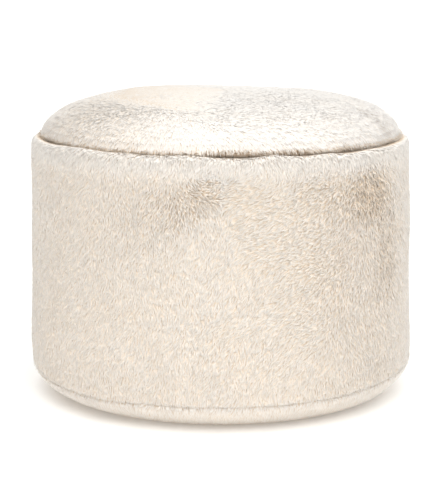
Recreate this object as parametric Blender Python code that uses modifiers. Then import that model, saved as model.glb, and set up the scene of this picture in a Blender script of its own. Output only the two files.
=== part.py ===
"""A round pouf in soft faux fur, 50 cm across and 40 cm high, standing on the floor.

It is sewn from three panels over a loose filling: a round seat panel on top, one side panel that
goes all the way round, and a round base panel. The filling pushes the seat up into a crown, swells
the side a little near the floor, and rolls the base panel up over the lower edge. Each panel here
is one solid with its own share of the filling, and its surface is where the tips of the fur reach.

Metres, +Z up. The origin is on the floor, under the middle of the pouf. The front faces -Y, and
angles are counted from the front, positive towards +X.
"""

import math
from collections import namedtuple

import bpy
from mathutils import Vector, noise

# Sizes of the whole pouf
SIDE_RADIUS = 0.250
CONTACT_RADIUS = 0.195
BASE_SEAM_HEIGHT = 0.036
TOP_SEAM_HEIGHT = 0.339
CROWN_RISE = 0.058

# The top seam, a groove between the seat's lip and the side's shoulder
TOP_LIP_RADIUS = 0.2355
TOP_GROOVE_RADIUS = 0.2215
CREST_RADIUS = 0.2395

# The base seam, a shallow groove between the side and the base
BASE_LIP_RADIUS = 0.2485
BASE_GROOVE_RADIUS = 0.2430

# How the filling rounds the seat: 2 and 2 would be an ellipse
CROWN_FLATNESS = 2.79
CROWN_FULLNESS = 2.33

# Neighbouring panels stand this far apart inside their seam
PANEL_GAP = 0.0003

# Flat faces round the pouf, and how finely the curves of a profile are cut
TURN_STEPS = 96
CROWN_RING = 0.0165
SIDE_RING = 0.0150

# Fur and filling are never even: soft lumps of this depth, about this far apart
LUMP_DEPTH = 0.0016
LUMP_SPACING = 0.085

FUR_COLOUR = (0.80, 0.72, 0.62, 1.0)
FUR_ROUGHNESS = 0.95

Section = namedtuple("Section", "radius height")
SIDE_SECTIONS = (
    Section(0.2415, 0.3377),
    Section(0.2452, 0.3345),
    Section(0.2475, 0.3270),
    Section(0.2487, 0.3130),
    Section(0.2496, 0.2850),
    Section(0.2500, 0.2350),
    Section(0.2503, 0.1700),
    Section(0.2516, 0.1200),
    Section(0.2531, 0.0850),
    Section(0.2525, 0.0600),
    Section(0.2508, 0.0450),
)
BASE_SECTIONS = (
    Section(0.2474, 0.0310),
    Section(0.2422, 0.0240),
    Section(0.2317, 0.0148),
    Section(0.2187, 0.0070),
    Section(0.2052, 0.0018),
    Section(CONTACT_RADIUS, 0.0),
)

# Where the top seam gapes: the seat's lip lifts off the side's shoulder by this much
Gape = namedtuple("Gape", "angle spread opening")
TOP_SEAM_GAPES = (
    Gape(4, 9, 0.0065),
    Gape(20, 5, 0.0050),
    Gape(28, 4, 0.0025),
    Gape(41, 7, 0.0050),
    Gape(57, 9, 0.0020),
    Gape(104, 10, 0.0030),
    Gape(148, 12, 0.0035),
    Gape(197, 9, 0.0040),
    Gape(236, 14, 0.0025),
    Gape(292, 10, 0.0020),
)

# Where the side's shoulder is pinched up beside the seam
Pinch = namedtuple("Pinch", "angle spread rise")
SHOULDER_PINCHES = (
    Pinch(15.7, 5, 0.0030),
    Pinch(32, 4, 0.0018),
    Pinch(122, 6, 0.0020),
    Pinch(216, 7, 0.0025),
    Pinch(318, 6, 0.0015),
)

# The base seam isn't level: it rides up or down along the side
Ride = namedtuple("Ride", "angle spread rise")
BASE_SEAM_RIDES = (
    Ride(74, 30, 0.0085),
    Ride(-38, 16, -0.0030),
    Ride(150, 28, 0.0040),
    Ride(215, 24, -0.0025),
    Ride(268, 20, 0.0030),
)

# The rolled edge above the floor is fuller in places, and slacker in others
Swell = namedtuple("Swell", "angle spread reach")
BASE_SWELLS = (
    Swell(64, 32, 0.0050),
    Swell(-66, 34, 0.0008),
    Swell(168, 30, -0.0020),
    Swell(238, 24, 0.0016),
)

# Soft folds and hollows of the side. lean is from upright, positive when the top leans to +X
Fold = namedtuple("Fold", "angle height length width lean depth")
SIDE_FOLDS = (
    Fold(-5, 0.290, 0.060, 0.050, 80, -0.0035),
    Fold(-21, 0.080, 0.080, 0.018, -12, -0.0030),
    Fold(-14, 0.075, 0.075, 0.020, -14, 0.0020),
    Fold(-44, 0.200, 0.120, 0.045, 4, -0.0022),
    Fold(37, 0.150, 0.060, 0.022, 50, 0.0028),
    Fold(43, 0.118, 0.060, 0.022, 56, -0.0026),
    Fold(50, 0.085, 0.070, 0.026, 60, 0.0024),
    Fold(56, 0.290, 0.060, 0.040, 10, -0.0026),
    Fold(98, 0.170, 0.110, 0.030, -10, -0.0026),
    Fold(128, 0.110, 0.080, 0.024, 24, 0.0024),
    Fold(160, 0.230, 0.090, 0.040, 70, -0.0030),
    Fold(187, 0.085, 0.075, 0.022, -8, -0.0026),
    Fold(224, 0.190, 0.100, 0.034, 12, 0.0024),
    Fold(251, 0.100, 0.080, 0.022, -20, -0.0026),
    Fold(283, 0.260, 0.070, 0.040, 60, -0.0022),
)

# Shallow hollows and swells of the seat, placed from above
Dent = namedtuple("Dent", "x y reach depth")
SEAT_DENTS = (
    Dent(-0.030, -0.120, 0.060, -0.0022),
    Dent(0.090, -0.060, 0.070, 0.0020),
    Dent(-0.110, 0.030, 0.075, 0.0022),
    Dent(0.020, 0.090, 0.080, -0.0026),
    Dent(0.175, -0.095, 0.032, -0.0024),
    Dent(-0.060, 0.160, 0.050, 0.0018),
)


def smooth_step(value):
    """0 below 0, 1 above 1, with a soft start and end between."""
    value = min(1.0, max(0.0, value))
    return value * value * (3 - 2 * value)


def bell(distance):
    """A soft hump that is 1 at no distance and almost nothing at 2."""
    return math.exp(-distance * distance)


def turn_between(angle, start):
    """The shorter turn from one angle to another, in degrees."""
    return (angle - start + 180) % 360 - 180


def gape(angle):
    """How far the top seam stands open at this angle."""
    return sum(g.opening * bell(turn_between(angle, g.angle) / g.spread) for g in TOP_SEAM_GAPES)


def pinch(angle):
    """How far the shoulder stands up beside the top seam at this angle."""
    return sum(p.rise * bell(turn_between(angle, p.angle) / p.spread) for p in SHOULDER_PINCHES)


def ride(angle):
    """How far the base seam lies above its mean height at this angle."""
    return sum(r.rise * bell(turn_between(angle, r.angle) / r.spread) for r in BASE_SEAM_RIDES)


def swell(angle):
    """How far the rolled edge reaches past its mean radius at this angle."""
    return sum(s.reach * bell(turn_between(angle, s.angle) / s.spread) for s in BASE_SWELLS)


def side_relief(angle, height):
    """How far the side stands out from its turned shape: the folds, and the lumps between them."""
    out = 0.0
    for fold in SIDE_FOLDS:
        around = SIDE_RADIUS * math.radians(turn_between(angle, fold.angle))
        up = height - fold.height
        lean = math.radians(fold.lean)
        along = up * math.cos(lean) + around * math.sin(lean)
        across = around * math.cos(lean) - up * math.sin(lean)
        out += fold.depth * bell(across / fold.width) * bell(along / fold.length)
    place = Vector((math.sin(math.radians(angle)), -math.cos(math.radians(angle)), 0)) * SIDE_RADIUS
    place.z = height
    return out + LUMP_DEPTH * noise.noise(place / LUMP_SPACING)


def seat_relief(x, y):
    """How far the seat stands above its turned shape."""
    up = sum(d.depth * bell(math.hypot(x - d.x, y - d.y) / d.reach) for d in SEAT_DENTS)
    return up + LUMP_DEPTH * noise.noise(Vector((x, y, 1)) / LUMP_SPACING)


def settled(point, panel):
    """Where a point of the turned shape ends up once the pouf has been filled, sat on and moved."""
    radius = math.hypot(point.x, point.y)
    if radius < PANEL_GAP:
        height = point.z + (seat_relief(0, 0) if point.z > TOP_SEAM_HEIGHT + PANEL_GAP else 0)
        return Vector((0, 0, height))
    angle = math.degrees(math.atan2(point.x, -point.y))
    height = point.z

    # The side folds die out towards both seams, towards the axis and on the floor
    below_top = smooth_step((TOP_SEAM_HEIGHT - point.z) / 0.030)
    off_floor = smooth_step(point.z / 0.050)
    near_skin = smooth_step((radius - TOP_GROOVE_RADIUS) / (SIDE_RADIUS - TOP_GROOVE_RADIUS))
    outwards = side_relief(angle, point.z) * below_top * off_floor * near_skin

    # The rolled edge swells, and its flat on the floor with it
    near_floor = 1 - smooth_step((point.z - 0.5 * BASE_SEAM_HEIGHT) / (2 * BASE_SEAM_HEIGHT))
    outwards += swell(angle) * near_floor * (radius / SIDE_RADIUS) ** 2

    # The base seam rides up and down, and carries both of its panels with it
    over_seam = 1 - smooth_step((point.z - BASE_SEAM_HEIGHT) / 0.060)
    under_seam = smooth_step(point.z / BASE_SEAM_HEIGHT)
    height += ride(angle) * (radius / BASE_LIP_RADIUS) ** 2 * over_seam * under_seam

    # The lips of the top seam part
    to_lip = smooth_step((radius - TOP_GROOVE_RADIUS) / (TOP_LIP_RADIUS - TOP_GROOVE_RADIUS))
    near_seam = bell((point.z - TOP_SEAM_HEIGHT) / 0.016)
    if panel == "top_panel":
        height += 0.6 * gape(angle) * to_lip * near_seam
        crown = smooth_step((point.z - TOP_SEAM_HEIGHT - 0.006) / 0.020)
        height += seat_relief(point.x, point.y) * crown
    if panel == "side_panel":
        height -= 0.4 * gape(angle) * to_lip * near_seam
        outside = smooth_step((radius - TOP_LIP_RADIUS) / (CREST_RADIUS - TOP_LIP_RADIUS))
        height += pinch(angle) * outside * near_seam

    scale = (radius + outwards) / radius
    return Vector((point.x * scale, point.y * scale, height))


def curve_through(sections, spacing):
    """Points on one smooth curve through the sections, about this far apart."""
    points = [Vector((s.radius, s.height)) for s in sections]
    points = [2 * points[0] - points[1], *points, 2 * points[-1] - points[-2]]
    found = []
    for before, start, end, after in zip(points, points[1:], points[2:], points[3:]):
        steps = max(1, round((end - start).length / spacing))
        for step in range(steps):
            t = step / steps
            found.append(
                0.5
                * (
                    2 * start
                    + (end - before) * t
                    + (2 * before - 5 * start + 4 * end - after) * t**2
                    + (3 * start - before - 3 * end + after) * t**3
                )
            )
    return [Section(*point) for point in [*found, points[-2]]]


def seat_profile():
    """The seat panel from the middle of its crown out to its lip, and back under it to the axis."""
    crown = []
    rings = round(TOP_LIP_RADIUS / CROWN_RING)
    for ring in range(rings):
        share = math.sin(0.5 * math.pi * ring / rings) ** 0.9
        rise = (1 - share**CROWN_FLATNESS) ** (1 / CROWN_FULLNESS)
        crown.append(Section(share * TOP_LIP_RADIUS, TOP_SEAM_HEIGHT + CROWN_RISE * rise))
    underside = TOP_SEAM_HEIGHT + PANEL_GAP / 2
    return [
        *crown,
        Section(TOP_LIP_RADIUS, TOP_SEAM_HEIGHT + 0.0060),
        Section(TOP_LIP_RADIUS - 0.0022, TOP_SEAM_HEIGHT + 0.0022),
        Section(TOP_LIP_RADIUS - 0.0075, TOP_SEAM_HEIGHT + 0.0009),
        Section(TOP_GROOVE_RADIUS, underside),
        Section(TOP_GROOVE_RADIUS / 2, underside),
        Section(0, underside),
    ]


def side_profile():
    """The side panel: its top inside the seam, the shoulder, the side, and its bottom on the base."""
    top = TOP_SEAM_HEIGHT - PANEL_GAP / 2
    bottom = BASE_SEAM_HEIGHT + PANEL_GAP / 2
    return [
        Section(0, top),
        Section(TOP_GROOVE_RADIUS / 2, top),
        Section(TOP_GROOVE_RADIUS, top),
        Section(TOP_GROOVE_RADIUS + 0.0070, top - 0.0014),
        Section(TOP_LIP_RADIUS, top - 0.0008),
        Section(CREST_RADIUS, top - 0.0004),
        *curve_through(SIDE_SECTIONS, SIDE_RING),
        Section(BASE_LIP_RADIUS + 0.0012, BASE_SEAM_HEIGHT + 0.0045),
        Section(BASE_LIP_RADIUS - 0.0010, BASE_SEAM_HEIGHT + 0.0014),
        Section(BASE_GROOVE_RADIUS, bottom),
        Section(BASE_GROOVE_RADIUS / 2, bottom),
        Section(0, bottom),
    ]


def base_profile():
    """The base panel: its top under the side, its lip, the rolled edge and the flat on the floor."""
    top = BASE_SEAM_HEIGHT - PANEL_GAP / 2
    return [
        Section(0, top),
        Section(BASE_GROOVE_RADIUS / 2, top),
        Section(BASE_GROOVE_RADIUS, top),
        Section(BASE_LIP_RADIUS - 0.0014, BASE_SEAM_HEIGHT - 0.0012),
        *curve_through(BASE_SECTIONS, SIDE_RING),
        Section(0, 0),
    ]


def clear_scene():
    for obj in list(bpy.data.objects):
        bpy.data.objects.remove(obj)


def fur_material():
    material = bpy.data.materials.new("cream_faux_fur")
    material.use_nodes = True
    shader = material.node_tree.nodes["Principled BSDF"]
    shader.inputs["Base Color"].default_value = FUR_COLOUR
    shader.inputs["Roughness"].default_value = FUR_ROUGHNESS
    shader.inputs["Metallic"].default_value = 0.0
    return material


def turned_panel(name, profile, material, collection):
    """A solid of revolution from a profile, with its points moved to where the filled pouf has them."""
    outline = bpy.data.meshes.new(name + "_profile")
    points = [(section.radius, 0, section.height) for section in profile]
    outline.from_pydata(points, [(i, i + 1) for i in range(len(points) - 1)], [])
    lathe = bpy.data.objects.new(name + "_lathe", outline)
    collection.objects.link(lathe)
    screw = lathe.modifiers.new("Turn", "SCREW")
    screw.axis = "Z"
    screw.steps = TURN_STEPS
    screw.render_steps = TURN_STEPS
    screw.use_merge_vertices = True
    screw.merge_threshold = 0.00001

    graph = bpy.context.evaluated_depsgraph_get()
    mesh = bpy.data.meshes.new_from_object(lathe.evaluated_get(graph))
    bpy.data.objects.remove(lathe)
    for vertex in mesh.vertices:
        vertex.co = settled(vertex.co, name)
    mesh.materials.clear()
    mesh.materials.append(material)
    mesh.shade_smooth()
    mesh.name = name

    panel = bpy.data.objects.new(name, mesh)
    collection.objects.link(panel)
    return panel


def main():
    clear_scene()
    pouf = bpy.data.collections.new("faux_fur_pouf")
    bpy.context.scene.collection.children.link(pouf)
    fur = fur_material()
    turned_panel("top_panel", seat_profile(), fur, pouf)
    turned_panel("side_panel", side_profile(), fur, pouf)
    turned_panel("base_panel", base_profile(), fur, pouf)


main()
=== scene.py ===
# %% [markdown]
# # A round pouf in cream faux fur
#
# The pouf is a soft drum, 50 cm across and 40 cm high, sewn from three panels of faux fur: a round
# seat, one long side and a round base. This notebook dresses its plain construction solids, which
# come loaded as a fixed frame. Those solids reach to the tips of the fur, so the work goes from the
# inside out: first the filled cloth that lies a little under them, then the fur that grows on it.
#
# Everything is in metres, with +Z up. The front faces -Y, and angles are counted from the front,
# positive towards +X, which is the viewer's right.

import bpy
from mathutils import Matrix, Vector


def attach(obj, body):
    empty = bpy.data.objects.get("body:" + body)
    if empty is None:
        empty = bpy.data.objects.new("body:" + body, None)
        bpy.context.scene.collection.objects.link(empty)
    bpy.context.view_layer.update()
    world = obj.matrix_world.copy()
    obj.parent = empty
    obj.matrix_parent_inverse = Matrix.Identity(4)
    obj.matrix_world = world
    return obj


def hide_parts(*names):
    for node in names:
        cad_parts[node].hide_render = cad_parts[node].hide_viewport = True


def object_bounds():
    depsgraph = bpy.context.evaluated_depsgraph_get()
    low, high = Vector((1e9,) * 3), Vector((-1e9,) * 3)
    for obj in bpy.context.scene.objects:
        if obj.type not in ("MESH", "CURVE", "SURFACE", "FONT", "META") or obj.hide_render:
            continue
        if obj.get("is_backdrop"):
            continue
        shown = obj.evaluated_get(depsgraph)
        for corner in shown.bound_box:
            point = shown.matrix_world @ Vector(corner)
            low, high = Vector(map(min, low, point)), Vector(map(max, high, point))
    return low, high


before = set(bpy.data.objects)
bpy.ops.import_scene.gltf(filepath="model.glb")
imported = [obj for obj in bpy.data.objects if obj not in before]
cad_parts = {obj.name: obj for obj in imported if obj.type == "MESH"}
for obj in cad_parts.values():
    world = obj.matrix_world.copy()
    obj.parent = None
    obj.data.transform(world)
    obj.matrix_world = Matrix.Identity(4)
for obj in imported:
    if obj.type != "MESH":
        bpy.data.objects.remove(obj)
cad_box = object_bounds()
print("construction solids:", sorted(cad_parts))
print("box in mm:", [round(1000 * (high - low)) for low, high in zip(*cad_box)])

# %% What the rest of the notebook imports
import math
from collections import namedtuple
from types import SimpleNamespace

import bmesh
import bpy
import numpy as np
from mathutils import Vector, kdtree, noise

# %% [markdown]
# ## The camera
#
# A product photo of a low seat is usually taken with a long lens from a few metres away, a little
# above the seat, so that the upright sides stay nearly parallel. The camera here stands nine radii
# in front of the pouf and looks down just enough to show the seat as a shallow ellipse. A long lens
# from further away would flatten that ellipse and lose the slight widening towards the top.

# %% Camera
SIDE_RADIUS = 0.250
CAMERA_DISTANCE = 9 * SIDE_RADIUS
CAMERA_HEIGHT = 0.604
CAMERA_PITCH = math.radians(10.59)
CAMERA_LENS = 124.0


def place_camera():
    data = bpy.data.cameras.new("studio_camera")
    data.lens = CAMERA_LENS
    data.clip_end = 100
    camera = bpy.data.objects.new("studio_camera", data)
    camera.location = (0, -CAMERA_DISTANCE, CAMERA_HEIGHT)
    camera.rotation_euler = (math.pi / 2 - CAMERA_PITCH, 0, 0)
    bpy.context.scene.collection.objects.link(camera)
    bpy.context.scene.camera = camera
    return camera


print("camera at", tuple(round(x, 2) for x in place_camera().location), "m")

# %% [markdown]
# ## The studio
#
# The pouf stands on a seamless pale floor that is lit brightly enough to go white. The light is
# soft and comes from nearly everywhere: a pale sky, a wide overhead light and a wide light beside
# the camera. A sun lamp with a very large angle behaves like a huge diffuser that is evenly far
# from everything, so the floor doesn't fall off into grey behind the pouf as it would under a
# softbox a metre across. The overhead light is a little cool and the others a little warm, which
# leaves the seat whiter than the side.

# %% Floor and lights
FLOOR_RADIUS = 30.0
FLOOR_COLOUR = (0.95, 0.93, 0.90, 1)
FLOOR_GLOW = 0.20
SKY_COLOUR = (1.0, 0.945, 0.88, 1)
SKY_STRENGTH = 0.28

Softlight = namedtuple("Softlight", "name from_x from_y from_z strength width_deg colour")
SOFTLIGHTS = (
    Softlight("overhead_light", 0.10, -0.35, 1.0, 3.4, 90, (0.88, 0.94, 1.0)),
    Softlight("camera_light", -0.02, -1.0, 0.35, 0.75, 80, (1.0, 0.963, 0.93)),
)


def new_material(name):
    material = bpy.data.materials.new(name)
    material.use_nodes = True
    material.node_tree.nodes.clear()
    return material


def new_object(name, mesh):
    made = bpy.data.objects.new(name, mesh)
    bpy.context.scene.collection.objects.link(made)
    return made


def lay_floor():
    material = bpy.data.materials.new("studio_floor")
    material.use_nodes = True
    shader = material.node_tree.nodes["Principled BSDF"]
    shader.inputs["Base Color"].default_value = FLOOR_COLOUR
    shader.inputs["Roughness"].default_value = 0.9
    shader.inputs["Specular IOR Level"].default_value = 0.1
    shader.inputs["Emission Color"].default_value = FLOOR_COLOUR
    shader.inputs["Emission Strength"].default_value = FLOOR_GLOW
    disc = bmesh.new()
    bmesh.ops.create_circle(disc, cap_ends=True, radius=FLOOR_RADIUS, segments=64)
    mesh = bpy.data.meshes.new("studio_floor")
    disc.to_mesh(mesh)
    disc.free()
    mesh.materials.append(material)
    floor = new_object("studio_floor", mesh)
    floor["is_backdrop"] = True


def hang_lights():
    for light in SOFTLIGHTS:
        data = bpy.data.lights.new(light.name, "SUN")
        data.energy = light.strength
        data.angle = math.radians(light.width_deg)
        data.color = light.colour
        lamp = bpy.data.objects.new(light.name, data)
        towards_lamp = Vector((light.from_x, light.from_y, light.from_z))
        lamp.rotation_euler = towards_lamp.to_track_quat("Z", "Y").to_euler()
        bpy.context.scene.collection.objects.link(lamp)
    world = bpy.data.worlds.new("studio_sky")
    world.use_nodes = True
    background = world.node_tree.nodes["Background"]
    background.inputs["Color"].default_value = SKY_COLOUR
    background.inputs["Strength"].default_value = SKY_STRENGTH
    bpy.context.scene.world = world
    bpy.context.scene.view_settings.view_transform = "Standard"


lay_floor()
hang_lights()
print(len(SOFTLIGHTS), "soft lights and a pale sky")

# %% [markdown]
# ## A shorthand for nodes
#
# Materials and geometry nodes are both trees of nodes, and both get long when each sum takes three
# lines. Here a small class wraps an output socket and gives it Python's own signs, so that
# `1 - mask * 0.3` adds the Math nodes by itself. Numbers, vectors and colours take different
# nodes: a Math node would turn a colour grey, so vectors and colours go through Vector Math. All
# other nodes come from one method that sets a node's properties first and its inputs after.

# %% Board and Wire
class Wire:
    """An output socket that can be added, subtracted and multiplied like a number."""

    def __init__(self, board, socket):
        self.board = board
        self.socket = socket

    def __add__(self, other):
        return self.board.sum("ADD", self, other)

    def __radd__(self, other):
        return self.board.sum("ADD", other, self)

    def __sub__(self, other):
        return self.board.sum("SUBTRACT", self, other)

    def __rsub__(self, other):
        return self.board.sum("SUBTRACT", other, self)

    def __mul__(self, other):
        return self.board.sum("MULTIPLY", self, other)

    def __rmul__(self, other):
        return self.board.sum("MULTIPLY", other, self)


class Board:
    """A node tree and one way to add any node to it."""

    def __init__(self, tree):
        self.tree = tree

    def node(self, kind, settings=None, inputs=None):
        """Adds a node. Settings are its properties, and inputs its sockets by name or number."""
        made = self.tree.nodes.new(kind)
        for name, value in (settings or {}).items():
            setattr(made, name, value)
        for name, value in (inputs or {}).items():
            socket = self.socket(made.inputs, name)
            if isinstance(value, Wire):
                self.tree.links.new(value.socket, socket)
            else:
                socket.default_value = value
        return made

    def wire(self, kind, output, settings=None, inputs=None):
        """Adds a node and returns one of its outputs."""
        return Wire(self, self.socket(self.node(kind, settings, inputs).outputs, output))

    @staticmethod
    def socket(sockets, name):
        """A socket by number, or the one in use of those with this name."""
        if isinstance(name, int):
            return sockets[name]
        return next(s for s in sockets if s.name == name and s.enabled)

    def sum(self, operation, a, b):
        """One Math node for two numbers, or one Vector Math node where either is a vector."""

        def is_vector(x):
            if isinstance(x, Wire):
                return x.socket.type in ("VECTOR", "RGBA")
            return isinstance(x, tuple)

        kind = "ShaderNodeVectorMath" if is_vector(a) or is_vector(b) else "ShaderNodeMath"
        if kind == "ShaderNodeVectorMath":
            a, b = ((x,) * 3 if isinstance(x, (int, float)) else x for x in (a, b))
        return self.wire(kind, 0, {"operation": operation}, {0: a, 1: b})

    def maths(self, operation, *values):
        """A Math node that has no sign in Python, such as SINE or MAXIMUM."""
        return self.wire("ShaderNodeMath", 0, {"operation": operation}, dict(enumerate(values)))

    def mix(self, factor, a, b):
        """A colour that goes from a to b."""
        inputs = {"Factor": factor, "A": a, "B": b}
        return self.wire("ShaderNodeMix", "Result", {"data_type": "RGBA"}, inputs)

    def split(self, vector):
        """The three numbers of a vector."""
        parts = self.node("ShaderNodeSeparateXYZ", inputs={0: vector})
        return [Wire(self, parts.outputs[i]) for i in range(3)]

    def join(self, x, y, z):
        """A vector of three numbers."""
        return self.wire("ShaderNodeCombineXYZ", 0, inputs={0: x, 1: y, 2: z})


# %% [markdown]
# ## The fur's colour
#
# The pile is one cream colour, but it never looks so. Light hardly reaches the roots, so they get
# painted shade and look beige, while the tips are nearly white. Each tuft also takes the dye and
# the light a little differently. So the colour runs from root to tip along every tuft, and every
# tuft carries a number of its own that makes it a little lighter or darker at random, times the
# painted shade or painted light of the place where it grows. A third number says how far the pile
# is parted where the tuft grows, which is how much painted root shade shows: at 0 no root shows,
# at 1 the roots are fully beige, and past 1 the beige reaches up to the tips. All three are
# attributes that are stored when the fur is grown. A faint mottling over centimetres comes from a
# noise in Object space.
#
# The strands inside a tuft are too thin to model, so they are a bump: a noise that is squeezed
# across the tuft and stretched along it, on a second UV map that each tuft carries.

# %% Fur material
# ROOT_COLOUR is the painted shade at the roots, and TIP_COLOUR the nearly white tips
ROOT_COLOUR = (0.76, 0.61, 0.455, 1)
TIP_COLOUR = (0.97, 0.93, 0.88, 1)
WARM_TINT = (1.0, 0.975, 0.945, 1)
COOL_TINT = (0.985, 0.99, 1.0, 1)
MOTTLES = 26.0
ROOTS_END = 1.15
ROOTS_FADE = 0.3
STRANDS_ACROSS = 9.0
STRANDS_ALONG = 1.3
STRAND_DEPTH = 0.0004
STRANDS_APART = 40


def attribute(board, name, output="Fac"):
    return board.wire("ShaderNodeAttribute", output, {"attribute_name": name})


def fur_material():
    material = new_material("faux_fur")
    board = Board(material.node_tree)
    along = attribute(board, "along")
    tone = attribute(board, "tone")
    place = board.wire("ShaderNodeTexCoord", "Object")

    mottling = board.wire("ShaderNodeTexNoise", 0, None, {"Vector": place, "Scale": MOTTLES})
    tint = board.mix(mottling, WARM_TINT, COOL_TINT)
    hidden = board.maths("SMOOTH_MIN", along * ROOTS_END, 1.0, ROOTS_FADE)
    parted = attribute(board, "open")
    depth = parted - hidden * board.maths("MINIMUM", parted, 1.0)
    colour = board.mix(depth, TIP_COLOUR, ROOT_COLOUR) * tint * tone

    strand = board.wire("ShaderNodeUVMap", "UV", {"uv_map": "Strand"})
    apart = board.join(0.0, 0.0, tone * STRANDS_APART)
    squeezed = strand * (STRANDS_ACROSS, STRANDS_ALONG, 1.0) + apart
    ridges = board.wire("ShaderNodeTexNoise", 0, None, {"Vector": squeezed, "Scale": 1.0})
    bump_inputs = {"Height": ridges, "Strength": 0.4, "Distance": STRAND_DEPTH}
    normal = board.wire("ShaderNodeBump", "Normal", None, bump_inputs)

    inputs = {
        "Base Color": colour,
        "Roughness": 0.85,
        "Specular IOR Level": 0.25,
        "Sheen Weight": 0.25,
        "Sheen Roughness": 0.5,
        "Sheen Tint": (1.0, 0.97, 0.93, 1),
        "Normal": normal,
    }
    shader = board.wire("ShaderNodeBsdfPrincipled", 0, None, inputs)
    board.node("ShaderNodeOutputMaterial", None, {"Surface": shader})
    return material


# %% [markdown]
# The cloth under the pile shows only where the fur parts. It is a knitted backing that is hidden
# by short underfur, so it gets the root colour, which is painted shade, darkened further by painted
# shade in small pits, and a soft bump of the same grain as the tufts.

# %% Backing material
# Painted shade: the backing in the shade of the pile, darker still in the pits of its grain
BACKING_COLOUR = (0.82, 0.67, 0.50, 1)
BACKING_PIT_SHADE_COLOUR = (0.72, 0.56, 0.40, 1)


def backing_material():
    material = new_material("fur_backing")
    board = Board(material.node_tree)
    place = board.wire("ShaderNodeTexCoord", "Object")
    grain_inputs = {"Vector": place, "Scale": 420.0, "Detail": 3.0}
    grain = board.wire("ShaderNodeTexNoise", 0, None, grain_inputs)
    colour = board.mix(grain, BACKING_PIT_SHADE_COLOUR, BACKING_COLOUR)
    bump_inputs = {"Height": grain, "Strength": 0.6, "Distance": 0.0012}
    normal = board.wire("ShaderNodeBump", "Normal", None, bump_inputs)
    inputs = {"Base Color": colour, "Roughness": 0.95, "Sheen Weight": 0.2, "Normal": normal}
    shader = board.wire("ShaderNodeBsdfPrincipled", 0, None, inputs)
    board.node("ShaderNodeOutputMaterial", None, {"Surface": shader})
    return material


FUR = fur_material()
BACKING = backing_material()
print("materials:", FUR.name, "and", BACKING.name)

# %% [markdown]
# ## The filled cloth
#
# Each panel is a pad of cloth over its share of the filling. It could be turned like a bowl, but
# real filled cloth isn't even. Its broad hollows are in the construction solid already, and a short
# cloth simulation adds to them. A voxel remesh, which the simulation needs, would lose the thin
# lips beside the seams. So each panel has two copies of its solid: a fine one, which keeps the lips
# and becomes the pad, and a remeshed one, which is blown up with gravity off. The fine one then
# follows the moves of the other, capped at two millimetres.
#
# The faces where two panels meet are hidden, and they are pinned. Otherwise these large flat
# discs would balloon and drag the seams inwards.

# %% Sizes of the pads
TOP_SEAM_HEIGHT = 0.339
BASE_SEAM_HEIGHT = 0.036
TOP_GROOVE_RADIUS = 0.2215
BASE_GROOVE_RADIUS = 0.2430
CONTACT_RADIUS = 0.195
PRESSED_PILE_DEPTH = 0.0012
HIDDEN_GAP = 0.0004

VOXEL = 0.006
CLOTH_PRESSURE = 4.0
CLOTH_FRAMES = 20
CLOTH_LIMIT = 0.0020

UP = 1
DOWN = -1
Meeting = namedtuple("Meeting", "height groove_radius side")
TOP_SEAM = (TOP_SEAM_HEIGHT, TOP_GROOVE_RADIUS)
BASE_SEAM = (BASE_SEAM_HEIGHT, BASE_GROOVE_RADIUS)
Panel = namedtuple("Panel", "node pad pile fill meetings")
SEAT = Panel("top_panel", "seat_pad", 0.0014, 0.85, (Meeting(*TOP_SEAM, DOWN),))
SIDE_MEETINGS = (Meeting(*TOP_SEAM, UP), Meeting(*BASE_SEAM, DOWN))
SIDE = Panel("side_panel", "side_pad", 0.0022, 0.85, SIDE_MEETINGS)
BASE = Panel("base_panel", "base_pad", 0.0020, 0.75, (Meeting(*BASE_SEAM, UP),))
PANELS = (SEAT, SIDE, BASE)

# %% [markdown]
# A few helpers read and write whole meshes as arrays, which is quick on tens of thousands of
# points. `outside` says for each point whether the cloth is open to the air there (1) or is hidden
# where two panels meet (0). It grows from 0 at the bottom of the seam's groove to 1 near its lip.
# The groove is where the seam pulls both panels inwards, and only cloth that is turned towards the
# seam can lie in it.

# %% Meshes as arrays
GROOVE_FADE = 0.010
GROOVE_REACH = 0.014
TURNED_TO_SEAM = 0.3


def smooth_step(value):
    """0 below 0, 1 above 1, with a soft start and end between. It takes numbers and arrays."""
    value = np.clip(value, 0.0, 1.0)
    return value * value * (3 - 2 * value)


def read(collection, field, width=3):
    values = np.empty(len(collection) * width, np.float32)
    collection.foreach_get(field, values)
    return values.reshape(-1, width).astype(float)


def move_points(mesh, places):
    mesh.vertices.foreach_set("co", places.astype(np.float32).ravel())
    mesh.update()


def unit(vectors):
    return vectors / np.maximum(np.linalg.norm(vectors, axis=1, keepdims=True), 1e-9)


def radius_of(places):
    return np.hypot(places[:, 0], places[:, 1])


def degrees_round(places):
    """The angle round the pouf, from the front."""
    return np.degrees(np.arctan2(places[:, 0], -places[:, 1]))


def mean_of_neighbours(mesh, values, rounds):
    """Each point's value becomes the mean of its own and its neighbours', several times over."""
    ends = np.empty(len(mesh.edges) * 2, np.int32)
    mesh.edges.foreach_get("vertices", ends)
    first, second = ends.reshape(-1, 2).T
    for _ in range(rounds):
        total = values.copy()
        count = np.ones((len(values), 1))
        for to, frm in ((first, second), (second, first)):
            np.add.at(total, to, values[frm])
            np.add.at(count, to, 1)
        values = total / count
    return values


def outside(panel, places, normals):
    radius = radius_of(places)
    shown = np.ones(len(places))
    for meeting in panel.meetings:
        looks_there = normals[:, 2] * meeting.side > TURNED_TO_SEAM
        beside = np.abs(places[:, 2] - meeting.height) < GROOVE_REACH
        opens = smooth_step((radius - meeting.groove_radius) / GROOVE_FADE)
        shown = np.where(looks_there & beside, np.minimum(shown, opens), shown)
    return shown


def triangles_of(piece):
    return sum(len(face.vertices) - 2 for face in piece.data.polygons)


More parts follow.
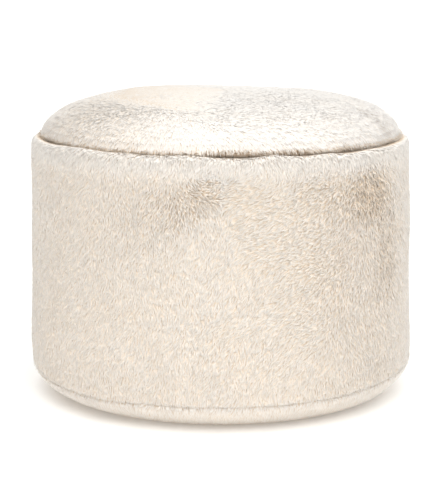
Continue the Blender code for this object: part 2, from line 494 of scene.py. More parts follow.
# %% [markdown]
# The fine copy is merged, and its long edges are cut until no face is much larger than a tuft of
# pile. The hidden discs stay coarse, because nobody sees them. Then the cloth is drawn in along
# its normals by the height of the pile, and by one more millimetre, half the cap, as room for the
# simulation to swell it. Under the pouf the pile is pressed flat by its weight, so the cloth lies
# closer to the floor there.

# %% Fine copies
MERGED_WITHIN = 0.00001
CUTTING_ROUNDS = 3
LONGEST_EDGE = 0.0085
HIDDEN_RING = 0.010
DISC_THICKNESS = 0.001
PRESSED_BELOW = 0.010
CONTACT_FADE = 0.020


def pressed(places):
    """1 where the pouf stands on its pile, 0 where the pile is free."""
    radius = radius_of(places)
    low = 1 - smooth_step(places[:, 2] / PRESSED_BELOW)
    return low * (1 - smooth_step((radius - CONTACT_RADIUS) / CONTACT_FADE))


def fine_copy(panel):
    work = bmesh.new()
    work.from_mesh(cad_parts[panel.node].data)
    bmesh.ops.remove_doubles(work, verts=work.verts, dist=MERGED_WITHIN)
    disc_radius = min(meeting.groove_radius for meeting in panel.meetings) - HIDDEN_RING

    def is_on_disc(vert):
        off = min(abs(vert.co.z - meeting.height) for meeting in panel.meetings)
        return off < DISC_THICKNESS and vert.co.xy.length < disc_radius

    for _ in range(CUTTING_ROUNDS):
        long = [edge for edge in work.edges if edge.calc_length() > LONGEST_EDGE]
        long = [edge for edge in long if not any(map(is_on_disc, edge.verts))]
        bmesh.ops.subdivide_edges(work, edges=long, cuts=1)
        bmesh.ops.triangulate(work, faces=work.faces)
    mesh = bpy.data.meshes.new(panel.pad)
    work.to_mesh(mesh)
    work.free()
    return mesh


# %% [markdown]
# At a seam the stitches hold both cloths together, so there the cloth isn't drawn in and the lips
# stay closed. Two more corrections close them where the photo shows no gap: the rolled lip of the
# base comes up a little all the way round, and the side's shoulder comes up under the seat in the
# places that a short table gives by angle.

# %% The cloth at the seams
SEAM_HOLD = 0.030
HELD_TURN = 0.6
BASE_LIP_RISE = 0.0018
BASE_LIP_RADIUS = 0.243
BASE_LIP_FADE = 0.002


def held_by_seam(panel, places, normals):
    """1 where the cloth turns into a seam, which keeps it in its place, and 0 a little way off."""
    radius = radius_of(places)
    held = np.zeros(len(places))
    for meeting in panel.meetings:
        looks_there = smooth_step(normals[:, 2] * meeting.side / HELD_TURN)
        off = np.abs(places[:, 2] - meeting.height)
        near = 1 - smooth_step((off - GROOVE_REACH / 2) / GROOVE_REACH)
        near *= 1 - smooth_step((radius - meeting.groove_radius) / SEAM_HOLD)
        held = np.maximum(held, looks_there * near)
    return held


PLUMP_BAND = 0.010
PLUMP_RADIUS = 0.230
PLUMP_FADE = 0.006
Plump = namedtuple("Plump", "angle spread rise")
PLUMP_SHOULDER = (
    Plump(-74, 12, 0.0030),
    Plump(-50, 14, 0.0035),
    Plump(-28, 9, 0.0030),
    Plump(-9, 9, 0.0045),
    Plump(4, 6, 0.0030),
    Plump(18, 9, 0.0024),
    Plump(45, 20, 0.0018),
)


def plumpness(places):
    """How much higher the side's shoulder is where its pile bunches up under the seat."""
    angle = degrees_round(places)
    rise = sum(p.rise * np.exp(-(((angle - p.angle) / p.spread) ** 2)) for p in PLUMP_SHOULDER)
    near_seam = np.exp(-(((places[:, 2] - TOP_SEAM_HEIGHT) / PLUMP_BAND) ** 2))
    return rise * near_seam * smooth_step((radius_of(places) - PLUMP_RADIUS) / PLUMP_FADE)


def draw_in(panel, mesh):
    places = read(mesh.vertices, "co")
    normals = read(mesh.vertex_normals, "vector")
    held = held_by_seam(panel, places, normals)
    swelling = CLOTH_LIMIT / 2
    depth = (panel.pile + swelling) * (1 - held) + HIDDEN_GAP * held
    if panel is BASE:
        depth += (PRESSED_PILE_DEPTH - depth) * pressed(places)
    places -= normals * depth[:, None]
    if panel is SIDE:
        places[:, 2] += plumpness(places)
    if panel is BASE:
        lip = smooth_step((radius_of(places) - BASE_LIP_RADIUS) / BASE_LIP_FADE)
        places[:, 2] += BASE_LIP_RISE * held * lip
    move_points(mesh, places)


# %% [markdown]
# The simulation runs for twenty frames with a gentle pressure. What it does differs by panel. The
# wide seat is slack: parts of it sink by a centimetre and parts balloon by more than two, so only
# the outward part of a move counts, up to a limit, and on much of the seat the limit decides. The
# side and the base hardly stir, by some tenths of a millimetre. The cell prints the moves of the
# free cloth before the limit. The flat that the pouf stands on is pinned too, because the floor
# holds it flat.

# %% Cloth
PIN_HIDDEN = 0.6
PIN_PRESSED = 0.3
SMOOTHING_ROUNDS = 3
FOLLOWED_POINTS = 3


def remeshed(pad):
    rough = new_object("cloth_to_settle", pad.data)
    even = rough.modifiers.new("Even faces", "REMESH")
    even.mode = "VOXEL"
    even.voxel_size = VOXEL
    graph = bpy.context.evaluated_depsgraph_get()
    rough.data = bpy.data.meshes.new_from_object(rough.evaluated_get(graph))
    rough.modifiers.clear()
    return rough


def moves_of_cloth(panel, rough):
    rest = read(rough.data.vertices, "co")
    normals = read(rough.data.vertex_normals, "vector")
    held = outside(panel, rest, normals) < PIN_HIDDEN
    if panel is BASE:
        held |= pressed(rest) > PIN_PRESSED
    pins = rough.vertex_groups.new(name="pinned")
    pins.add(np.flatnonzero(held).tolist(), 1.0, "REPLACE")
    cloth = rough.modifiers.new("Filling", "CLOTH")
    cloth.settings.vertex_group_mass = pins.name
    cloth.settings.use_pressure = True
    cloth.settings.uniform_pressure_force = CLOTH_PRESSURE
    cloth.settings.effector_weights.gravity = 0
    for number in range(1, CLOTH_FRAMES + 1):
        bpy.context.scene.frame_set(number)
    graph = bpy.context.evaluated_depsgraph_get()
    moves = read(rough.evaluated_get(graph).data.vertices, "co") - rest
    bpy.context.scene.frame_set(1)
    outwards = (moves * normals).sum(1, keepdims=True)
    low, middle, high = 1000 * np.percentile(outwards[~held], (5, 50, 95))
    print(f"{panel.pad}: free cloth moves {low:.1f} to {high:.1f} mm out, median {middle:.1f} mm")
    capped = np.clip(outwards, 0, CLOTH_LIMIT)
    return rest, mean_of_neighbours(rough.data, capped, SMOOTHING_ROUNDS)


def settle(panel, pad):
    rough = remeshed(pad)
    rest, moves = moves_of_cloth(panel, rough)
    bpy.data.objects.remove(rough)
    tree = kdtree.KDTree(len(rest))
    for number, place in enumerate(rest):
        tree.insert(place, number)
    tree.balance()
    places = read(pad.data.vertices, "co")
    found = [tree.find_n(place, FOLLOWED_POINTS) for place in places]
    nearest = np.array([[number for _, number, _ in points] for points in found])
    normals = read(pad.data.vertex_normals, "vector")
    move_points(pad.data, places + normals * moves[nearest].mean(1))


def make_pad(panel):
    pad = new_object(panel.pad, fine_copy(panel))
    draw_in(panel, pad.data)
    settle(panel, pad)
    pad.data.attributes.remove(pad.data.attributes["custom_normal"])
    pad.data.shade_smooth()
    pad.data.materials.clear()
    pad.data.materials.append(BACKING)
    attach(pad, "root")
    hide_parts(panel.node)
    print(f"{panel.pad}: {triangles_of(pad)} triangles")
    return pad


pads = {panel.node: make_pad(panel) for panel in PANELS}

# %% [markdown]
# ## Which way the pile lies
#
# Fur looks darker or lighter by how it lies. Pile that is stroked down shows its pale sides, and
# pile that stands up or is stroked the wrong way shows its darker roots. So the direction of the
# pile is half of the look of the real thing. It lies one way over the seat, falls outwards at the
# rim and down the side, and hands have ruffled it in places.
#
# The falling direction is worked out from the cloth's normal, so it follows the shape round the
# shoulder and under the edge. Then come two short tables of brushed places. On the side, a row
# names a place by angle and height and turns the pile from straight down, positive towards the
# right. On the seat, a row names a place from above and the direction in which it is combed.
# `stand` raises the pile, in degrees, `shade` darkens it as painted shade, or lightens it as
# painted light where it is below 0, and `ruffled` makes its tufts point every way and differ more
# in tone, as where a hand has gone against the pile.

# %% Brushed places
Brushed = namedtuple("Brushed", "angle height around up turn stand shade ruffled")
SIDE_BRUSHED = (
    # The ruffled patch that faces the viewer, and the pile that is combed up to its edge
    Brushed(-3.0, 0.302, 0.021, 0.018, 150, 24, 0.0, 1.3),
    Brushed(-8.0, 0.288, 0.024, 0.021, 35, 18, 0.0, 1.2),
    Brushed(-15.0, 0.272, 0.028, 0.024, -18, 12, 0.01, 1.0),
    Brushed(8.0, 0.280, 0.028, 0.040, -95, -6, 0.05, 0.1),
    Brushed(-24.0, 0.270, 0.040, 0.050, 12, 4, 0.03, 0.4),
    # The middle and the right, combed to the left and then slanting
    Brushed(18.0, 0.230, 0.050, 0.070, -80, -2, 0.01, 0.3),
    Brushed(34.0, 0.190, 0.060, 0.090, -52, 4, 0.01, 0.7),
    Brushed(30.0, 0.290, 0.040, 0.030, -70, 6, 0.01, 0.9),
    Brushed(50.0, 0.288, 0.044, 0.034, -40, 18, -0.06, 2.4),
    Brushed(58.0, 0.200, 0.040, 0.060, -35, 8, 0.0, 1.3),
    Brushed(10.0, 0.110, 0.070, 0.050, -40, 0, 0.0, 0.2),
    # Painted shade low on the right, and painted light low on the left
    Brushed(48.0, 0.080, 0.060, 0.050, -30, 0, 0.03, 0.4),
    Brushed(-48.0, 0.080, 0.060, 0.050, 0, 0, -0.03, 0.0),
    # Round the right, the back and the left
    Brushed(96.0, 0.230, 0.070, 0.060, 55, 8, 0.02, 0.6),
    Brushed(122.0, 0.120, 0.060, 0.050, -45, 0, 0.0, 0.0),
    Brushed(150.0, 0.270, 0.050, 0.034, 65, 6, 0.0, 0.5),
    Brushed(176.0, 0.180, 0.070, 0.070, 50, 0, -0.01, 0.2),
    Brushed(208.0, 0.250, 0.070, 0.045, -60, 6, 0.01, 0.4),
    Brushed(236.0, 0.130, 0.060, 0.060, 35, 4, 0.01, 0.2),
    Brushed(262.0, 0.276, 0.046, 0.032, 65, 7, 0.0, 0.5),
    Brushed(290.0, 0.180, 0.060, 0.080, 15, 0, 0.0, 0.0),
)

Combed = namedtuple("Combed", "x y reach towards stand shade ruffled")
SEAT_COMBED = (
    Combed(0.110, -0.120, 0.070, -16, 2, 0.0, 0.0),
    Combed(0.020, -0.150, 0.050, -8, 2, 0.0, 0.0),
    Combed(-0.080, -0.062, 0.014, -50, 3, 0.01, 0.3),
    Combed(-0.150, -0.130, 0.070, 215, 1, 0.04, 0.5),
    Combed(0.188, -0.076, 0.014, -62, 7, 0.03, 0.9),
    Combed(0.210, -0.098, 0.012, -62, 9, 0.03, 1.1),
)


# %% [markdown]
# Each row of a table pulls the pile its own way near its place and lets go further off. The pulls
# are added as vectors, so the pile turns smoothly from one place to the next.
#
# The seat's pile was cut all one way, to the right and a little back, and falls outwards only near
# the rim. At the left the two ways meet head on, which would leave a dark parting. There the pile
# turns from one to the other by way of the back, so that its pale upper side stays in view, and it
# lies a little flatter where it points up the crown.

# %% The direction of the pile
LEFT_ALONE = 0.05
SEAM_MARGIN = 0.004
SEAM_FADE = 0.02


def falling(places, normals):
    """The way down along the cloth, away from the middle of the seat."""
    radius = np.maximum(radius_of(places), 1e-6)
    out = np.stack([places[:, 0] / radius, places[:, 1] / radius, 0 * radius], 1)
    outward = (normals * out).sum(1, keepdims=True)
    return out * normals[:, 2:3] - np.array([0, 0, 1.0]) * outward


def turned(directions, normals, angle):
    """Turned about the normals. A positive angle turns a falling pile to the viewer's right."""
    cosine, sine = (np.broadcast_to(f(angle), len(normals))[:, None] for f in (np.cos, np.sin))
    return directions * cosine + np.cross(normals, directions) * sine


def nap_of_side(places, normals):
    angle = degrees_round(places)
    fall = falling(places, normals)
    nap = np.zeros_like(fall)
    total, stand, shade, ruffled = np.zeros((4, len(places)))
    below_seam = smooth_step((TOP_SEAM_HEIGHT - SEAM_MARGIN - places[:, 2]) / SEAM_FADE)
    for spot in SIDE_BRUSHED:
        around = SIDE_RADIUS * np.radians((angle - spot.angle + 180) % 360 - 180)
        weight = below_seam * np.exp(-((around / spot.around) ** 2))
        weight *= np.exp(-(((places[:, 2] - spot.height) / spot.up) ** 2))
        nap += weight[:, None] * turned(fall, normals, math.radians(spot.turn))
        total += weight
        stand += weight * spot.stand
        shade += weight * spot.shade
        ruffled += weight * spot.ruffled
    nap += fall * np.maximum(LEFT_ALONE, 1 - total)[:, None]
    return nap, *(value / np.maximum(total, 1) for value in (stand, shade, ruffled))


SEAT_TOWARDS = math.radians(14)
RIM_STARTS = 0.165
RIM_WIDTH = 0.060
RIM_EARLIER = 0.050
RIM_YIELDS = 0.8
RIM_PRESSED = 7
RISING = 1.5


def rises(directions, fall):
    """1 where the pile points up the crown, 0 where it points level or down."""
    return smooth_step(-(fall * directions).sum(1, keepdims=True) * RISING)


def nap_of_seat(places, normals):
    """The panel was cut with its pile all one way, and only its rim has been stroked down."""
    one_way = np.array([math.cos(SEAT_TOWARDS), math.sin(SEAT_TOWARDS), 0.0])
    fall = falling(places, normals)
    against = rises(one_way, fall)
    radius = radius_of(places)[:, None]
    rim = smooth_step((radius + RIM_EARLIER * against - RIM_STARTS) / RIM_WIDTH)
    backwards = np.array([0, 1.0, 0]) * 4 * rim * (1 - rim) * against
    nap = one_way * (1 - RIM_YIELDS * rim) + fall * rim + backwards
    stand, shade, ruffled = np.zeros((3, len(places)))
    for spot in SEAT_COMBED:
        away = np.hypot(places[:, 0] - spot.x, places[:, 1] - spot.y)
        weight = np.exp(-((away / spot.reach) ** 2))
        towards = math.radians(spot.towards)
        nap += weight[:, None] * np.array([math.cos(towards), math.sin(towards), 0])
        stand += weight * spot.stand
        shade += weight * spot.shade
        ruffled += weight * spot.ruffled
    return nap, stand - RIM_PRESSED * rises(unit(nap), fall)[:, 0], shade, ruffled


# %% [markdown]
# The directions and the other numbers are stored on the pad's points as named attributes, which
# geometry nodes can read. A slow noise lets the pile wander, and a finer one ruffles it, because
# even well-combed fur never lies quite parallel. In the grooves of the seams the pile is shorter,
# and under the pouf it is thinner and lies flat.
#
# The upper seam needs most care, because the viewer looks straight at it. What shows there as a
# tan line is the pile under the seat's lip: it hangs down and outwards like a fringe, and its roots
# show with their painted shade, while the fringe is painted lighter to lift the shadow under the
# lip. Below it the shoulder gets a painted highlight that starts clean at the crest and leaves its
# pile almost white, and only further down does the pile show more painted root shade and take the
# painted shade that turns the side cream.

# %% Storing the nap
TUFT_LENGTH = 0.0076
PILE_HEIGHT = 0.0027
# How much painted root shade shows: least on the seat, most on the side and where pile is ruffled
OPENNESS = {"seat_pad": 0.5, "side_pad": 0.9, "base_pad": 0.55}
RUFFLED_OPEN = 0.18
GROOVE_LENGTH = 0.70
FURRED_FROM = 0.12

WANDER_DEG = 20
WANDER_SPACING = 0.055
RUFFLE_DEG = 14
RUFFLE_SPACING = 0.014
SEAT_EVENNESS = 0.5
NOISE_SPAN = 1.8

PRESSED_LEAN = 20
PRESSED_DENSITY = 0.35


def wander(places, spacing, seed):
    """A soft noise between about -1 and 1 over the places, with this spacing."""
    return NOISE_SPAN * np.array([noise.noise(Vector(place)) for place in places / spacing + seed])


def turn_of(panel, places):
    """How far the pile strays from its direction, in radians. The seat is combed more evenly."""
    turn = WANDER_DEG * wander(places, WANDER_SPACING, 3.7)
    turn += RUFFLE_DEG * wander(places, RUFFLE_SPACING, 11.3)
    turn *= SEAT_EVENNESS if panel is SEAT else 1.0
    return np.radians(turn)


def store(mesh, name, values):
    kind, field = ("FLOAT_VECTOR", "vector") if values.ndim == 2 else ("FLOAT", "value")
    made = mesh.attributes.new(name, kind, "POINT")
    made.data.foreach_set(field, values.astype(np.float32).ravel())


# %% [markdown]
# The two places that the paragraph above describes get a function each. Both work on the whole
# panel with masks, so there is no edge between the lip and the rest. The left third of the seat
# also gets painted shade, which makes it a little darker and creamier, with more of the beige
# root colour.

# %% The lip and the shoulder
# Fringe: painted root shade, and a negative shade that paints light into the shadow under the lip
LIP_TURN = 0.5
LIP_HEIGHT = 0.014
LIP_HANGING = 0.006
LIP_OPEN = 1.0
FRINGE_STAND = 48
FRINGE_PAINTED_LIGHT = -0.18

# Painted shade on the left third of the seat: darker, with more of the beige root colour
LEFT_SHADE_TO = -0.02
LEFT_SHADE_WIDTH = 0.15
LEFT_PAINTED_SHADE = 0.04
LEFT_SHADE_OPEN = 0.35

SHOULDER_DROP = 0.002
SHOULDER_BAND = 0.006
SHOULDER_CREST = 0.2400
CREST_WIDTH = 0.003
SHOULDER_STAND = 10
SHOULDER_RUFFLE = 0.5
GROOVE_SHORTER = 0.65
GROOVE_OPEN = 1.2

# A painted highlight on the shoulder below the seam; SIDE_SHADE is painted shade on the side
HIGHLIGHT_FROM = 0.304
HIGHLIGHT_SOON = 1.3
HIGHLIGHT_CLOSED = 0.6
HIGHLIGHT_LIGHTER = 0.4
SIDE_SHADE = 0.06


def comb_lip(pile, places, normals):
    """Under the seat's lip the pile hangs down and out, and the left third gets painted shade."""
    under_lip = smooth_step(-normals[:, 2] / LIP_TURN)
    near_lip = smooth_step((TOP_SEAM_HEIGHT + LIP_HEIGHT - places[:, 2]) / LIP_HEIGHT * 2)
    # Painted shade on the left third of the seat
    left_shade = smooth_step((LEFT_SHADE_TO - places[:, 0]) / LEFT_SHADE_WIDTH)
    pile.nap = pile.nap * (1 - 2 * under_lip[:, None])
    pile.stand = pile.stand + FRINGE_STAND * under_lip
    pile.length = np.maximum(pile.length, under_lip)
    pile.hanging = LIP_HANGING * near_lip
    # Painted light on the fringe under the lip, painted shade on the left third
    pile.shade = pile.shade + FRINGE_PAINTED_LIGHT * under_lip + LEFT_PAINTED_SHADE * left_shade
    pile.parted = LEFT_SHADE_OPEN * left_shade + LIP_OPEN * under_lip


def comb_shoulder(pile, places):
    """Painted highlight on the stood-up crest; short pile in painted tan shade in the groove."""
    off_seam = places[:, 2] - TOP_SEAM_HEIGHT + SHOULDER_DROP
    beside_seam = np.exp(-((off_seam / SHOULDER_BAND) ** 2))
    inwards = smooth_step((SHOULDER_CREST - radius_of(places)) / CREST_WIDTH) * beside_seam
    # Painted highlight that grows towards the seam
    pale = (places[:, 2] - HIGHLIGHT_FROM) / (TOP_SEAM_HEIGHT - HIGHLIGHT_FROM)
    pale = smooth_step(pale * HIGHLIGHT_SOON)
    shaded = SIDE_SHADE * (1 - pale * (HIGHLIGHT_LIGHTER + (1 - HIGHLIGHT_LIGHTER) * inwards))
    pile.stand = pile.stand + SHOULDER_STAND * beside_seam * (1 - inwards)
    pile.ruffled = pile.ruffled + SHOULDER_RUFFLE * beside_seam * (1 - inwards)
    pile.length = pile.length * (1 - GROOVE_SHORTER * inwards)
    # Painted shade on the side, less under the highlight; painted light and root shade in the
    # groove
    pile.shade = pile.shade + shaded + FRINGE_PAINTED_LIGHT * inwards
    pile.closed = HIGHLIGHT_CLOSED * pale
    pile.parted = GROOVE_OPEN * inwards


def comb(panel, pad):
    mesh = pad.data
    places = read(mesh.vertices, "co")
    normals = unit(mean_of_neighbours(mesh, read(mesh.vertex_normals, "vector"), 1))
    shown = outside(panel, places, normals)
    under = pressed(places)

    pile = SimpleNamespace(hanging=0.0, closed=0.0, parted=0.0)
    find = nap_of_seat if panel is SEAT else nap_of_side
    pile.nap, pile.stand, pile.shade, pile.ruffled = find(places, normals)
    pile.length = GROOVE_LENGTH + (1 - GROOVE_LENGTH) * shown
    if panel is SEAT:
        comb_lip(pile, places, normals)
    if panel is SIDE:
        comb_shoulder(pile, places)

    opened = OPENNESS[panel.pad] + RUFFLED_OPEN * pile.ruffled
    raised = TUFT_LENGTH * np.radians(np.maximum(pile.stand, 0))
    store(mesh, "up", normals)
    store(mesh, "nap", turned(unit(pile.nap), normals, turn_of(panel, places)))
    store(mesh, "stand", np.radians(pile.stand * (1 - under) - PRESSED_LEAN * under))
    store(mesh, "lightness", 1 - pile.shade)
    store(mesh, "open", opened * (1 - pile.closed) + pile.parted)
    store(mesh, "length", pile.length)
    store(mesh, "ruffled", pile.ruffled)
    store(mesh, "highest", PILE_HEIGHT + raised + pile.hanging)
    store(mesh, "furred", (shown > FURRED_FROM) * (1 - (1 - PRESSED_DENSITY) * under))


for panel in PANELS:
    comb(panel, pads[panel.node])
print("combed:", ", ".join(pad.name for pad in pads.values()))

# %% [markdown]
# ## One tuft
#
# The pile of faux fur clings together in small tufts that run out to a fine tip. There will be
# over two hundred thousand of them, so a tuft has only four faces. It is a cone with three sides
# that lies down: its round end is squashed and sunk into the cloth, with one ridge upwards, and
# its tip reaches forward. The tuft is about one unit long, grows towards +Y and rises to +Z.

# %% Tuft
TUFT_WIDTH = 0.40
TUFT_FLATNESS = 0.5
TUFT_ROOT = Vector((0, 0, 0.02))
TUFT_TIP = Vector((0, 0.95, 0.24))


def tuft_mesh():
    work = bmesh.new()
    along = work.verts.layers.float.new("along")
    strand = work.loops.layers.uv.new("Strand")
    bmesh.ops.create_cone(work, cap_ends=True, segments=3, radius1=TUFT_WIDTH / 2, depth=1)
    tip = max(work.verts, key=lambda vert: vert.co.z)
    ring = [vert for vert in work.verts if vert is not tip]
    for vert in ring:
        vert.co = TUFT_ROOT + Vector((vert.co.x, 0, vert.co.y * TUFT_FLATNESS))
    tip.co = TUFT_TIP
    tip[along] = 1.0
    work.normal_update()
    bmesh.ops.recalc_face_normals(work, faces=work.faces)

    # On the map, u goes once round the tuft and v from the root to the tip. The sunk end gets the
    # gap between two tips.
    for face in work.faces:
        edge = sorted((vert for vert in face.verts if vert in ring), key=ring.index)
        if len(edge) == 3:
            spots = dict(zip(edge, ((0.2, 1.0), (0.46, 1.0), (0.33, 0.15))))
        else:
            third = ring.index(edge[0]) + ring.index(edge[1]) - 1
            corners = ((third, 0.0), (third + 1, 0.0), (third + 0.5, 1.0))
            spots = {vert: (u / 3, v) for vert, (u, v) in zip((*edge, tip), corners)}
        for loop in face.loops:
            loop[strand].uv = spots[loop.vert]
    print("volume of a tuft:", round(work.calc_volume(signed=True), 4))
    mesh = bpy.data.meshes.new("tuft")
    work.to_mesh(mesh)
    work.free()
    mesh.shade_smooth()
    return mesh


tuft = new_object("tuft", tuft_mesh())
print("one tuft:", len(tuft.data.vertices), "points and", len(tuft.data.polygons), "faces")

# %% [markdown]
# ## Growing the fur
#
# Hair particles would be quick to set up, but they aren't a mesh. Geometry nodes give the same
# control and end in real faces. Points are spread over the pad by Poisson disks, which keeps them
# an even distance apart without making rows. Each point turns its tuft so that +Z is the cloth's
# normal and +Y the nap, and then raises and twists it a little at random. Once the instances are
# real, a noise bends the tips, so that neighbours curl together, and a tip that would stand out of
# the pile is brought down to its height.
#
# In the table, `rise` scales how far the tufts stand up, and `uneven` how much they differ in tone.
# `evening` and `lit_from` soften the light on them, as told under "Growing" below.
#
# Each tuft gets its own small place on a UV map that is laid out like the panel, so that its
# colour can be baked to an image later. The side's fur is four pieces, a quarter each, because one
# piece would be too heavy to handle.

# %% Sizes of the tufts and the pieces of fur
DENSEST = 2500000.0
LEAN_SPREAD = math.radians(8)
TWIST_SPREAD = math.radians(15)
LENGTH_SPREAD = (0.8, 1.2)
WIDTH_SPREAD = (0.8, 1.3)
RUFFLED_MORE = 1.5
CURL = 0.0017
CURL_SPACING = 0.010
QUARTER = math.pi / 2

Coat = namedtuple("Coat", "name node spacing rise evening lit_from uneven seed middle_deg")
COATS = (
    Coat("seat_fur", "top_panel", 0.00165, 0.4, 0.93, 0.3, 0.03, 5, None),
    Coat("side_fur_front", "side_panel", 0.00142, 1.0, 0.4, 0.3, 0.075, 6, 0),
    Coat("side_fur_right", "side_panel", 0.00142, 1.0, 0.4, 0.3, 0.075, 6, 90),
    Coat("side_fur_back", "side_panel", 0.00142, 1.0, 0.4, 0.3, 0.075, 6, 180),
    Coat("side_fur_left", "side_panel", 0.00142, 1.0, 0.4, 0.3, 0.075, 6, 270),
    Coat("base_fur", "base_panel", 0.00190, 0.8, 0.75, -1.0, 0.04, 7, None),
)


def named(board, name, kind="FLOAT"):
    settings = {"data_type": kind}
    return board.wire("GeometryNodeInputNamedAttribute", "Attribute", settings, {"Name": name})


def random_between(board, low, high, seed):
    inputs = {"Min": low, "Max": high, "Seed": seed}
    return board.wire("FunctionNodeRandomValue", "Value", {"data_type": "FLOAT"}, inputs)


def keep_as(board, geometry, name, value, kind="FLOAT", domain="POINT"):
    settings = {"data_type": kind, "domain": domain}
    inputs = {"Geometry": geometry, "Name": name, "Value": value}
    return board.wire("GeometryNodeStoreNamedAttribute", "Geometry", settings, inputs)


def length_of(board, vector):
    return board.wire("ShaderNodeVectorMath", "Value", {"operation": "LENGTH"}, {0: vector})


# %% [markdown]
# The flat layout unrolls a quarter of the side into a strip, and flattens the seat and the base
# into discs on which a point lies as far out as its way over the cloth. A tuft's cell on it is
# smaller than the distance between two roots, so cells never overlap.

# %% The flat layout
STRIP_WIDTH = 0.42
STRIP_HEIGHT = 0.36
DISC_WIDTH = 0.60
DISC_DROOP = 0.8
SEAT_HEIGHT = 0.397
CELL = 0.00100


def angle_from(board, place, middle_deg):
    """The angle round the pouf, counted from the middle of a quarter."""
    x, y, _ = board.split(place)
    cosine, sine = math.cos(math.radians(middle_deg)), math.sin(math.radians(middle_deg))
    return board.maths("ARCTAN2", x * cosine + y * sine, x * sine - y * cosine)


def place_on_layout(board, coat, root):
    x, y, z = board.split(root)
    if coat.middle_deg is not None:
        around = angle_from(board, root, coat.middle_deg) * SIDE_RADIUS
        return board.join(around * (1 / STRIP_WIDTH) + 0.5, z * (1 / STRIP_HEIGHT), 0.0)
    flat = board.join(x, y, 0.0)
    radius = board.maths("MAXIMUM", length_of(board, flat), 0.0001)
    middle_height = SEAT_HEIGHT if coat.node == "top_panel" else 0.0
    droop = board.maths("ABSOLUTE", z - middle_height) * DISC_DROOP
    stretch = board.maths("DIVIDE", radius + droop, radius) * (1 / DISC_WIDTH)
    return flat * board.join(stretch, stretch, 0.0) + (0.5, 0.5, 0.0)


def cell_size(coat):
    if coat.middle_deg is not None:
        return (CELL / STRIP_WIDTH, CELL / STRIP_HEIGHT, 0.0)
    return (CELL / DISC_WIDTH, CELL / DISC_WIDTH, 0.0)


# %% [markdown]
# The tree below is the whole recipe, from bare cloth to a coat. Pile that would hang through the
# floor is pressed up instead: below the softening height, a point's height is replaced by an
# exponential that never reaches the floor, so that even flattened tufts keep some thickness.

# %% The recipe for a coat
SOFTENING_HEIGHT = 0.0016


def plant(board, coat, cloth):
    """Turned and sized tufts on the cloth, still as instances."""
    settings = {"distribute_method": "POISSON"}
    inputs = {
        "Mesh": cloth,
        "Distance Min": coat.spacing,
        "Density Max": DENSEST,
        "Density Factor": named(board, "furred"),
        "Seed": coat.seed,
    }
    points = board.wire("GeometryNodeDistributePointsOnFaces", "Points", settings, inputs)
    place = board.wire("GeometryNodeInputPosition", 0)
    if coat.middle_deg is not None:
        away = board.maths("ABSOLUTE", angle_from(board, place, coat.middle_deg))
        beyond = board.maths("GREATER_THAN", away, QUARTER / 2)
        inputs = {"Geometry": points, "Selection": beyond}
        points = board.wire("GeometryNodeDeleteGeometry", 0, {"domain": "POINT"}, inputs)
    points = keep_as(board, points, "root", place, "FLOAT_VECTOR")
    wild = named(board, "ruffled") * RUFFLED_MORE + 1
    uneven = random_between(board, -coat.uneven, coat.uneven, 1) * wild
    points = keep_as(board, points, "tone", (uneven + 1) * named(board, "lightness"))

    axes = {"Primary Axis": named(board, "up", "FLOAT_VECTOR")}
    axes["Secondary Axis"] = named(board, "nap", "FLOAT_VECTOR")
    settings = {"primary_axis": "Z", "secondary_axis": "Y"}
    combed = board.wire("FunctionNodeAxesToRotation", 0, settings, axes)
    spread = LEAN_SPREAD * coat.rise
    lean = random_between(board, -spread, spread, 2) * wild + named(board, "stand")
    twist = random_between(board, -TWIST_SPREAD, TWIST_SPREAD, 3) * wild
    ruffle = board.wire("FunctionNodeEulerToRotation", 0, None, {0: board.join(lean, 0.0, twist)})
    inputs = {"Rotation": combed, "Rotate By": ruffle}
    ruffled = board.wire("FunctionNodeRotateRotation", 0, {"rotation_space": "LOCAL"}, inputs)

    length = random_between(board, *LENGTH_SPREAD, 4) * named(board, "length") * TUFT_LENGTH
    width = random_between(board, *WIDTH_SPREAD, 5) * TUFT_LENGTH
    one_tuft = board.wire("GeometryNodeObjectInfo", "Geometry", None, {"Object": tuft})
    inputs = {"Points": points, "Instance": one_tuft, "Rotation": ruffled}
    inputs["Scale"] = board.join(width, length, length * coat.rise)
    return board.wire("GeometryNodeInstanceOnPoints", 0, None, inputs)


def within_pile(board, cloth, place):
    """Tips that stand too far off the cloth come down to the height of the pile."""
    inputs = {"Geometry": cloth, "Sample Position": place}
    nearest = board.wire("GeometryNodeProximity", "Position", {"target_element": "FACES"}, inputs)
    inputs = {"Mesh": cloth, "Value": named(board, "up", "FLOAT_VECTOR"), "Sample Position": place}
    settings = {"data_type": "FLOAT_VECTOR"}
    up = board.wire("GeometryNodeSampleNearestSurface", "Value", settings, inputs)
    settings = {"operation": "DOT_PRODUCT"}
    height = board.wire("ShaderNodeVectorMath", "Value", settings, {0: place - nearest, 1: up})
    too_high = board.maths("MAXIMUM", height - named(board, "highest"), 0.0)
    too_high = too_high * named(board, "along")
    return place - up * board.join(too_high, too_high, too_high)


def curl(board, coat, fur, cloth):
    along = named(board, "along")
    root = named(board, "root", "FLOAT_VECTOR")
    inputs = {"Vector": root, "Scale": 1 / CURL_SPACING, "Detail": 1.0}
    lock = board.wire("ShaderNodeTexNoise", "Color", None, inputs)
    bend = along * along * (2 * CURL * coat.rise)
    moved = board.wire("GeometryNodeInputPosition", 0) + (lock - 0.5) * board.join(bend, bend, bend)
    x, y, z = board.split(within_pile(board, cloth, moved))
    low = board.maths("MINIMUM", z, SOFTENING_HEIGHT)
    pressed_up = board.maths("POWER", math.e, low * (1 / SOFTENING_HEIGHT) - 1) * SOFTENING_HEIGHT
    height = z - low + pressed_up
    inputs = {"Geometry": fur, "Position": board.join(x, y, height)}
    return board.wire("GeometryNodeSetPosition", 0, None, inputs)


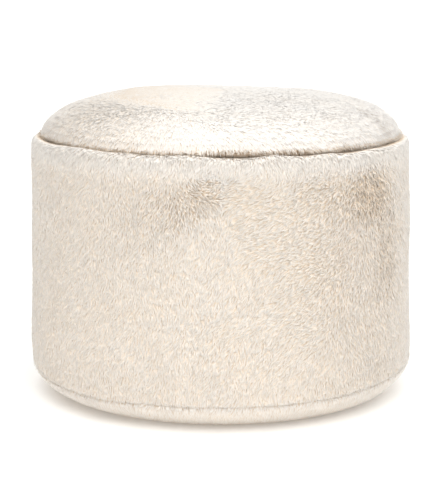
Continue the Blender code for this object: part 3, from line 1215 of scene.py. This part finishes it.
def coat_recipe(coat):
    tree = bpy.data.node_groups.new(coat.name, "GeometryNodeTree")
    tree.interface.new_socket("Cloth", in_out="INPUT", socket_type="NodeSocketGeometry")
    tree.interface.new_socket("Fur", in_out="OUTPUT", socket_type="NodeSocketGeometry")
    board = Board(tree)
    cloth = board.wire("NodeGroupInput", 0)
    tufts = plant(board, coat, cloth)
    real = board.wire("GeometryNodeRealizeInstances", 0, None, {0: tufts})
    fur = curl(board, coat, real, cloth)
    in_cell = (named(board, "Strand", "FLOAT_VECTOR") - 0.5) * cell_size(coat)
    layout = place_on_layout(board, coat, named(board, "root", "FLOAT_VECTOR")) + in_cell
    fur = keep_as(board, fur, "OFBake", layout, "FLOAT2", "CORNER")
    board.node("NodeGroupOutput", None, {0: fur})
    return tree


# %% [markdown]
# ## Growing
#
# Each coat is grown on a passing copy of its pad and made a mesh of its own. Real fur lets light
# through from hair to hair, so a coat looks much softer than its tufts would. To get that, the
# normals that shade a tuft are mixed with the normal of the cloth below it: `evening` is the
# cloth's share, and `lit_from` keeps its upward part from falling below that value, so that pile
# which leans over still catches light. The attributes that only the recipe needed are cleared
# away, and what stays is the tufts, their two maps, and the three numbers that the colour reads.

# %% Growing
RECIPE_ONLY = ("up", "nap", "stand", "lightness", "length", "ruffled", "highest", "furred", "root")


def grow(coat):
    holder = new_object("cloth_to_grow_on", pads[coat.node].data)
    holder.modifiers.new("Coat", "NODES").node_group = coat_recipe(coat)
    graph = bpy.context.evaluated_depsgraph_get()
    mesh = bpy.data.meshes.new_from_object(holder.evaluated_get(graph))
    bpy.data.objects.remove(holder)
    own = read(mesh.vertex_normals, "vector")
    smooth = read(mesh.attributes["up"].data, "vector")
    smooth[:, 2] = np.maximum(smooth[:, 2], coat.lit_from)
    evened = unit(own * (1 - coat.evening) + smooth * coat.evening)
    mesh.normals_split_custom_set_from_vertices(evened)
    for name in RECIPE_ONLY:
        if name in mesh.attributes:
            mesh.attributes.remove(mesh.attributes[name])
    mesh.materials.clear()
    mesh.materials.append(FUR)
    mesh.shade_smooth()
    fur = new_object(coat.name, mesh)
    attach(fur, "root")
    tufts = len(mesh.polygons) // len(tuft.data.polygons)
    print(f"{coat.name}: {tufts} tufts, {triangles_of(fur)} triangles")
    return fur


coats = [grow(coat) for coat in COATS]
bpy.data.objects.remove(tuft)

# %% [markdown]
# ## Measure and finish
#
# The last cell measures the dressed pouf and the construction solids and prints both sizes. The
# tips of the fur can stand proud of the solids by a few millimetres, and the drum itself is meant
# to stay where it was.

# %% Measure and finish
dressed_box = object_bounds()
sizes = {"cad_box": cad_box, "visual_box": dressed_box}
added = sum(triangles_of(piece) for piece in [*pads.values(), *coats])
print("triangles in all:", added)
for name, box in sizes.items():
    print(name, "in mm:", [round(1000 * (high - low), 1) for low, high in zip(*box)])
